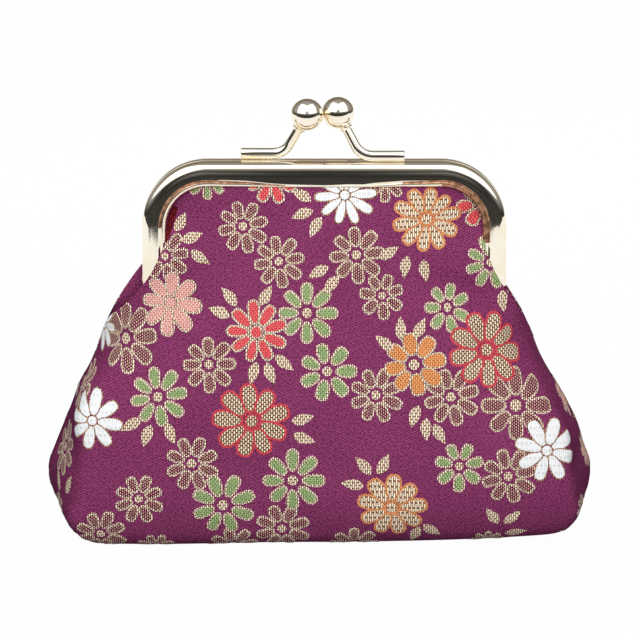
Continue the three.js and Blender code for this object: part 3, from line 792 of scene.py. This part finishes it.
# Leaves on the front as (column, row, bearing in degrees of the tip, anticlockwise from right).
FRONT_LEAVES = [
    (301, 195, 150), (302.5, 214, 200), (316.2, 228, 240), (318.5, 273, 210), (331, 286, 230),
    (389, 253.5, 30), (406, 267, 260), (425, 271, 280), (229, 296, 130), (265, 295, 60),
    (219, 313, 160), (253.5, 373, 255), (270.3, 374.4, 290), (285, 363.5, 320), (400.4, 329, 90),
    (383.6, 343, 140), (419.8, 329, 60), (503, 301, 280), (180.5, 221, 60), (192, 237, 20),
    (200.4, 257.7, 325), (131.3, 424.4, 210), (147.8, 436, 250), (170.2, 433.5, 290),
    (302, 419, 15), (304, 438, 340), (415, 416, 250), (426, 430, 270), (440, 433, 300),
    (362.2, 465.7, 130), (383.7, 464.2, 60), (353, 485.6, 170), (416, 535, 250), (432, 530, 320),
    (491.3, 515.6, 120), (513, 517.2, 45), (516, 532, 10), (59, 479, 110), (69, 484, 60)]

# The turned-in edge that shows beside the left of the lip, by its corners in the photograph.
TURNED_EDGE = [(174, 206), (178, 208), (174, 222), (168, 241), (164, 243), (167, 225), (169, 213)]

LEAF_LENGTH = 5.5
OUTLINE_WIDTH = 0.54
LEAST_RING = 8.0
RELIEF = 0.1
# Where the petals start, how nearly they meet, and their outline, where a style has its own.
PETALS = {
    "white": (0.14, 0.88, 0.32),
    "green": (0.27, 0.8, 0.64),
    "peach": (0.16, 0.94, 0.5),
    "red": (0.22, 0.9, 0.56),
    "orange": (0.26, 0.96, 0.46),
    "orange_ring": (0.18, 1.06, 0.56),
    "red_ring": (0.2, 1.06, 0.6),
}
# Each style's materials for outline, filling and middle.
STYLES = {
    "gold": ("gold_thread", "gold_dots", "gold_satin"),
    "green": ("gold_thread", "green_thread", "gold_satin"),
    "white": ("bronze_thread", "white_thread", "white_thread"),
    "red": ("gold_thread", "red_thread", "red_thread"),
    "orange": ("gold_thread", "orange_thread", "gold_satin"),
    "peach": ("gold_thread", "peach_thread", "peach_thread"),
    "orange_ring": ("orange_edge", "gold_stripes", "gold_stripes"),
    "red_ring": ("red_edge", "gold_netting", "gold_netting"),
}


def petal(radius, bearing, inset, count, foot, fullness):
    """An egg-shaped petal's outline, broad end out, drawn inset from its true edge."""
    long_half, middle = (1 - foot) / 2 * radius - inset, (1 + foot) / 2 * radius
    wide_half = (1 + 2 * middle / radius) / 3 * radius * math.sin(math.pi / count) * fullness - inset
    points = []
    for t in np.linspace(0, 2 * math.pi, 20, endpoint=False):
        along = long_half * math.copysign(abs(math.cos(t)) ** 0.9, math.cos(t))
        across = wide_half * math.copysign(abs(math.sin(t)) ** 0.74, math.sin(t))
        across *= 0.88 + 0.17 * math.cos(t)
        along += middle
        points.append((along * math.cos(bearing) - across * math.sin(bearing),
                       along * math.sin(bearing) + across * math.cos(bearing)))
    return np.array(points)


def flower(style, centre, radius, count, tilt):
    """Closed outlines with their materials; b runs down the cloth, so bearings are negated."""
    edge, filling, middle = STYLES[style]
    foot, fullness, inset = PETALS.get(style, (0.26, 0.86, OUTLINE_WIDTH))
    shapes = []
    for i in range(count):
        bearing = -tilt + 2 * math.pi * i / count
        reach = radius * (1 + 0.05 * math.sin(7.3 * i + radius))
        shapes.append((petal(reach, bearing, 0.0, count, foot, fullness), edge))
        shapes.append((petal(reach, bearing, inset, count, foot, fullness), filling))
    joined = style.endswith("ring")
    hub = (0.15 if joined or style == "white" else 0.17) * radius
    if joined or style == "red":
        shapes.append((np.array(arc((0, 0), hub + 0.4, 0, 330, 12)), edge))
    shapes.append((np.array(arc((0, 0), hub, 0, 330, 12)), middle))
    return [(shape + centre, name) for shape, name in shapes]


def leaf(centre, bearing, length=LEAF_LENGTH):
    share = np.linspace(0, 1, 9)
    width = 0.26 * length * np.sin(math.pi * share ** 0.8)
    lower = np.stack([(share - 0.5) * length, -0.8 * width], 1)
    upper = np.stack([(share - 0.5) * length, width], 1)[::-1][1:-1]
    shape = np.concatenate([lower, upper])
    c, s = math.cos(bearing), math.sin(bearing)
    return [(shape @ np.array(((c, s), (-s, c))) + centre, "gold_satin")]


def photo_reader(cloth):
    """A function that gives the flat place on the cloth that the photograph shows at a pixel."""
    seen = pixels_of(cloth.points)
    seen[cloth.up @ view_back < 0.02] = 1e6

    def spot_on(column, row):
        gap = np.hypot(seen[..., 0] - column, seen[..., 1] - row)
        return cloth.flat_of(*np.unravel_index(np.argmin(gap), gap.shape))

    return spot_on


def scatter(cloth, taken, seed):
    """Flowers and leaves at random where none is yet."""
    draw = rng(seed)
    styles = 4 * ["gold"] + 2 * ["green"]
    styles += ["white", "red", "orange", "peach", "orange_ring", "red_ring"]
    flowers, leaves = [], []
    for kind, tries, small, large in (("flower", 1600, 5.4, 7.9), ("leaf", 2600, 2.7, 2.9)):
        for _ in range(tries):
            radius = draw.uniform(small, large)
            b = draw.uniform(0, cloth.length)
            a = draw.uniform(-1, 1) * (cloth.half_at(1, b) + 2)
            centre = np.array((a, b))
            if any(np.hypot(*(centre - c)) < r + radius - 0.3 for c, r in taken):
                continue
            tilt = draw.uniform(0, 2 * math.pi)
            if kind == "leaf":
                leaves.append((centre, tilt))
            else:
                style = styles[draw.integers(len(styles))]
                joined = style.endswith("ring")
                radius = max(radius, LEAST_RING) if joined else radius
                count = int(draw.integers(9, 11) if joined else draw.integers(7, 9))
                flowers.append((style, centre, radius, count, tilt))
            taken.append((centre, radius))
    return flowers, leaves


def front_motifs(cloth, spot_on):
    """The flowers where the photograph shows them, then more on what it doesn't show."""
    flowers, leaves = [], []
    for style, places in FRONT_FLOWERS.items():
        for column, row, radius, count, tilt in places:
            centre = spot_on(column, row)
            flowers.append((style, centre, radius * PIXEL_SPAN, count, math.radians(tilt)))
    for column, row, bearing in FRONT_LEAVES:
        leaves.append((spot_on(column, row), math.radians(-bearing)))
    taken = [(centre, radius) for _, centre, radius, _, _ in flowers]
    taken += [(centre, LEAF_LENGTH / 2) for centre, _ in leaves]
    visible = (cloth.up @ view_back > 0.2) & (cloth.points[..., 2] > 0.2)
    for r in range(0, cloth.rows, 8):
        for c in range(0, ACROSS_STEPS + 1, 8):
            if visible[r, c]:
                taken.append((cloth.flat_of(r, c), 1.0))
    more_flowers, more_leaves = scatter(cloth, taken, 11)
    return flowers + more_flowers, leaves + more_leaves


def shapes_of(flowers, leaves):
    shapes = [shape for one in flowers for shape in flower(*one)]
    return shapes + [shape for one in leaves for shape in leaf(*one)]


def turned_edge(spot_on):
    """A closed outline through pixels, run so that b follows a."""
    shape = np.array([spot_on(*spot) for spot in TURNED_EDGE])
    ahead = np.roll(shape, -1, axis=0)
    area = (shape[:, 0] * ahead[:, 1] - shape[:, 1] * ahead[:, 0]).sum()
    return [(shape if area > 0 else shape[::-1], "turned_edge")]


def inside(points, outline):
    """Which points lie within a closed outline."""
    x, y = points[:, 0], points[:, 1]
    hit = np.zeros(len(points), bool)
    for (ax, ay), (bx, by) in zip(outline, np.roll(outline, -1, axis=0)):
        crosses = (ay > y) != (by > y)
        if ay != by:
            hit ^= crosses & (x < (bx - ax) * (y - ay) / (by - ay) + ax)
    return hit


def woven_sheet(cloth, shapes, grid_step, inset=None):
    """Triangles over the flat cloth that follow every motif's outline, and each one's material."""
    outline = np.array(cloth.outline(inset=inset))
    verts = [tuple(p) for p in outline]
    edges = [(i, (i + 1) % len(outline)) for i in range(len(outline))]
    faces, names = [list(range(len(outline)))], []
    for shape, name in shapes:
        if not inside(shape, outline).any():
            continue
        first = len(verts)
        verts += [tuple(p) for p in shape]
        faces.append(list(range(first, len(verts))))
        names.append(name)
    tree = kdtree.KDTree(len(verts))
    for i, (x, y) in enumerate(verts):
        tree.insert((x, y, 0), i)
    tree.balance()
    grid = np.array([(x, y) for y in np.arange(0.6, cloth.length, grid_step)
                     for x in np.arange(-cloth.reach, cloth.reach, grid_step)])
    grid = grid[inside(grid, outline)]
    verts += [tuple(p) for p in grid if tree.find((p[0], p[1], 0))[2] > 0.34]
    made = geometry.delaunay_2d_cdt([Vector(v) for v in verts], edges, faces, 1, 1e-5, True)
    flat = np.array([tuple(v) for v in made[0]])
    triangles, kinds = [], []
    for triangle, owners in zip(made[2], made[5]):
        if 0 not in owners:
            continue
        ids = [o for o in owners if o]
        triangles.append(tuple(triangle))
        kinds.append(names[max(ids) - 1] if ids else "ground")
    return flat, triangles, kinds


def on_sheet(flat, reach, low, size):
    """Places on the unit square for flat places, in a field of a given lower corner and size."""
    scale = size / max(2 * reach, flat[:, 1].max())
    return np.stack([low[0] + (flat[:, 0] + reach) * scale, low[1] + flat[:, 1] * scale], 1)


def outer_panel(name, cloth, shapes, library):
    """The brocade: a woven face and its plain back."""
    flat, triangles, kinds = woven_sheet(cloth, shapes, 1.3)
    raised = np.ones(len(flat), bool)
    for triangle, kind in zip(triangles, kinds):
        if kind == "ground":
            raised[list(triangle)] = False
    order = sorted(set(kinds) | {"ground"})
    face = cloth.at(flat, np.where(raised, RELIEF, 0.0))
    slots = [order.index(kind) for kind in kinds]
    back_flat, back_triangles, _ = woven_sheet(cloth, [], 2.6)
    back = cloth.at(back_flat, -0.55)
    count = len(flat)
    faces = triangles + [tuple(count + i for i in t[::-1]) for t in back_triangles]
    slots += [order.index("ground")] * len(back_triangles)
    sheet = np.concatenate([on_sheet(flat, cloth.reach, (0.01, 0.27), 0.72),
                            on_sheet(back_flat, cloth.reach, (0.74, 0.01), 0.24)])
    return mesh_object(name, np.concatenate([face, back]), faces, [library[kind] for kind in order],
                       slots, np.concatenate([flat, back_flat]), sheet, sharp=180)


def hem(b):
    """How far the lining stops short of the edge: the brocade is turned in beside the hinge."""
    height = CLOTH_TOP - b
    return 0.4 + 6.0 * smoothstep(42, 50, height) * (1 - smoothstep(66, 72, height))


def lining_panel(name, cloth, library):
    flat, triangles, _ = woven_sheet(cloth, [], 2.2, hem)
    face, back = cloth.at(flat, -0.75), cloth.at(flat, -1.15)
    count = len(flat)
    faces = triangles + [tuple(count + i for i in t[::-1]) for t in triangles]
    sheet = np.concatenate([on_sheet(flat, cloth.reach, (left, 0.01), 0.48) for left in (0.01, 0.51)])
    return mesh_object(name, np.concatenate([face, back]), faces, [library["lining"]],
                       None, np.concatenate([flat, flat]), sheet, sharp=180)


# Build

plating = plating_material()
lip_reflection = lip_reflection_material()
paper = paper_material()
library = {"ground": ground_material()}
library |= {name: thread_material(name, *look) for name, look in THREADS.items()}
library["lining"] = lining_material()

for side in ("front", "rear"):
    rear = side == "rear"
    body = f"{side}_half"
    metal = {
        f"{side}_frame": frame_half(f"{side}_channel", rear, plating, lip_reflection),
        f"{side}_clasp_arm": clasp_arm(f"{side}_arm", rear, plating),
        f"{side}_clasp_ball": clasp_ball(f"{side}_ball", rear, plating),
    }
    for cad_name, piece in metal.items():
        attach(piece, body)
        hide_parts(cad_name)
    cord = paper_cord(f"{side}_twisted_cord", rear, paper)
    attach(cord, body)
    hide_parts(f"{side}_paper_cord")
    cloth = Cloth(side)
    if rear:
        shapes = shapes_of(*scatter(cloth, [], 23))
    else:
        spot_on = photo_reader(cloth)
        shapes = shapes_of(*front_motifs(cloth, spot_on)) + turned_edge(spot_on)
    panels = {"outer": outer_panel(f"{side}_brocade", cloth, shapes, library),
              "lining": lining_panel(f"{side}_satin", cloth, library)}
    for layer, piece in panels.items():
        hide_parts(f"{side}_{layer}_mouth", f"{side}_{layer}_pouch")
        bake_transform(piece)

for name, sign in (("left_rivet", -1), ("right_rivet", 1)):
    piece = rivet(f"{name}_pin", sign, plating)
    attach(piece, "front_half")
    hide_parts(name)


# Studio

TABLE_EDGE, TABLE_EDGE_SLANT = 355.0, 0.09


def floor():
    """A white table that ends in front of the purse, as the frame's own reflection shows."""
    material, tree, shader = new_material("white_table")
    feed(tree, shader, {"Base Color": (0.3, 0.3, 0.3, 1), "Roughness": 0.9, "Specular IOR Level": 0.0})
    place = node(tree, "ShaderNodeTexCoord").outputs["Object"]
    split = node(tree, "ShaderNodeSeparateXYZ", {0: place})
    spread = node(tree, "ShaderNodeVectorMath", {0: place, 1: (9.0, 1.0, 1.0)}, operation="MULTIPLY")
    ragged = math_node(tree, "MULTIPLY_ADD", noise_of(tree, spread.outputs[0], 90.0, 1.0), 0.05, -0.025)
    edge = math_node(tree, "MULTIPLY_ADD", split.outputs[0], TABLE_EDGE_SLANT, split.outputs[1])
    edge = math_node(tree, "ADD", edge, ragged)
    near = remap(tree, edge, -TABLE_EDGE * MM - 0.006, -TABLE_EDGE * MM + 0.006)
    rays = node(tree, "ShaderNodeLightPath")
    clutter = remap(tree, noise_of(tree, place, 28.0, 3.0), 0.3, 0.8)
    beyond = blend_colours(tree, clutter, (0.018, 0.018, 0.018, 1), (0.09, 0.088, 0.088, 1))
    table = blend_colours(tree, near, beyond, (1, 1, 1, 1))
    white = (1.05, 1.05, 1.05, 1)
    glow = node(tree, "ShaderNodeEmission", {"Color": blend_colours(tree, rays.outputs["Is Glossy Ray"],
                                                                    white, table)})
    seen = math_node(tree, "MAXIMUM", math_node(tree, "MULTIPLY", rays.outputs["Is Camera Ray"], 0.93),
                     rays.outputs["Is Glossy Ray"])
    mix = node(tree, "ShaderNodeMixShader", {0: seen, 1: shader.outputs[0], 2: glow.outputs[0]})
    tree.links.new(mix.outputs[0], tree.nodes["Material Output"].inputs["Surface"])
    reach = 3000.0
    points = [(x, y, 0) for x, y in ((-reach, -reach), (reach, -reach), (reach, reach), (-reach, reach))]
    mesh_object("table", points, [(0, 1, 2, 3)], [material])


def softbox(name, place, size, radiance, mirrored, aim=(0, 0, 60)):
    """A soft light of an even brightness, which is seen in the metal or lights the cloth."""
    lamp = bpy.data.lights.new(name, "AREA")
    lamp.shape = "RECTANGLE"
    lamp.size, lamp.size_y = (v * MM for v in size)
    lamp.energy = radiance * math.pi * lamp.size * lamp.size_y
    made = bpy.data.objects.new(name, lamp)
    made.location = Vector(place) * MM
    toward = Vector(aim) * MM - made.location
    made.rotation_euler = toward.to_track_quat("-Z", "Y").to_euler()
    made.visible_camera = False
    made.visible_diffuse, made.visible_glossy = not mirrored, mirrored
    bpy.context.scene.collection.objects.link(made)


def world():
    """Plain light all round; metal sees a dark room in front and above, and a pale wall behind."""
    made = bpy.data.worlds.new("studio")
    made.use_nodes = True
    tree = made.node_tree
    background = tree.nodes["Background"]
    rays = node(tree, "ShaderNodeLightPath")
    direction = node(tree, "ShaderNodeTexCoord").outputs["Generated"]
    split = node(tree, "ShaderNodeSeparateXYZ", {0: direction})
    behind = remap(tree, split.outputs[1], 0.3, 0.7)
    low = remap(tree, split.outputs[2], 0.34, 0.5, 1.0, 0.0)
    wall = math_node(tree, "MULTIPLY", behind, low)
    rise = remap(tree, split.outputs[2], 0.0, 0.36)
    front = blend_colours(tree, rise, (0.03, 0.03, 0.03, 1), (0.36, 0.36, 0.37, 1))
    room = blend_colours(tree, behind, front, (0.2, 0.175, 0.14, 1))
    room = blend_colours(tree, wall, room, (0.27, 0.225, 0.175, 1))
    sideways = remap(tree, math_node(tree, "ABSOLUTE", split.outputs[0]), 0.4, 0.85)
    ambient = blend_colours(tree, sideways, (0.42, 0.42, 0.42, 1), (0.0, 0.0, 0.0, 1))
    fill = blend_colours(tree, rays.outputs["Is Diffuse Ray"], room, ambient)
    tree.links.new(blend_colours(tree, rays.outputs["Is Camera Ray"], fill, (1, 1, 1, 1)),
                   background.inputs["Color"])
    bpy.context.scene.world = made


def camera():
    lens = bpy.data.cameras.new("camera")
    lens.sensor_fit = "HORIZONTAL"
    lens.angle = view_angle
    made = bpy.data.objects.new("camera", lens)
    made.location = Vector(camera_place) * MM
    made.rotation_euler = (math.pi / 2 - CAMERA_ELEVATION, 0, 0)
    bpy.context.scene.collection.objects.link(made)
    bpy.context.scene.camera = made


floor()
softbox("left_softbox", (-330, -330, 600), (900, 860), 1.45, True)
softbox("right_softbox", (330, -330, 600), (900, 860), 1.3, True)
softbox("front_softbox", (-20, -590, 480), (480, 560), 6.2, False)
softbox("rear_softbox", (60, 560, 540), (560, 560), 3.6, False)
world()
camera()
bpy.context.scene.view_settings.view_transform = "Standard"
